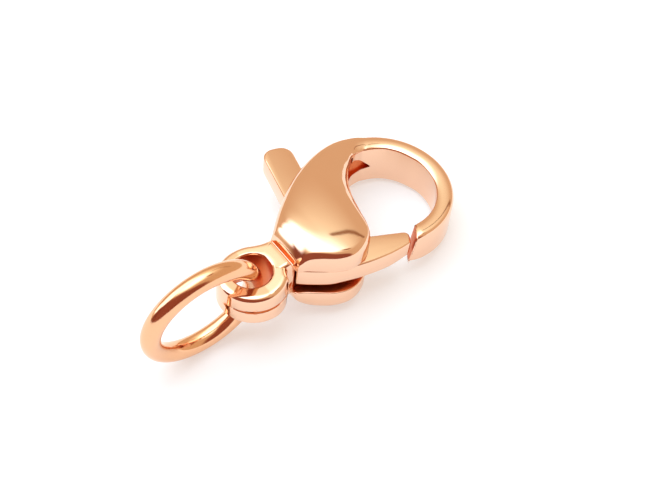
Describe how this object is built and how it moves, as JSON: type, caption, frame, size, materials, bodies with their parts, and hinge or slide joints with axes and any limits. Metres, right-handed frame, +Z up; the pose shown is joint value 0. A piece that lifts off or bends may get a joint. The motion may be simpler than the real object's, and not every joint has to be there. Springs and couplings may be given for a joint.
{
  "type": "lobster clasp",
  "caption": "Rose-gold lobster clasp with domed shells, a sprung lever with a thumb tab, and a round jump ring through its eye.",
  "frame": {"origin": "on the surface that the clasp lies on, under the middle of its outline", "axes": "+Z up, +X from the eye and jump ring towards the hook, +Y towards the thumb tab"},
  "size_m": [0.016, 0.008, 0.0057],
  "materials": {
    "rose_gold": "mirror polish",
    "rose_gold_pin": "polished",
    "rose_gold_wire": "polished, with fine drawing marks",
    "spring_steel": "bright wire"
  },
  "bodies": {
    "clasp": {"body": "rose_gold", "pivot_pin": "rose_gold_pin", "return_spring": "spring_steel", "jump_ring": "rose_gold_wire"},
    "lever": {"lever": "rose_gold"}
  },
  "joints": [
    {"name": "lever_pivot", "type": "hinge", "parent": "clasp", "child": "lever", "pos_m": [0.00102, -0.00169, 0.002], "axis": [0.1571, 0, 0.9876], "range_deg": [0, 30], "stiffness_Nm_per_rad": 0.01, "springref_deg": -20.05}
  ]
}
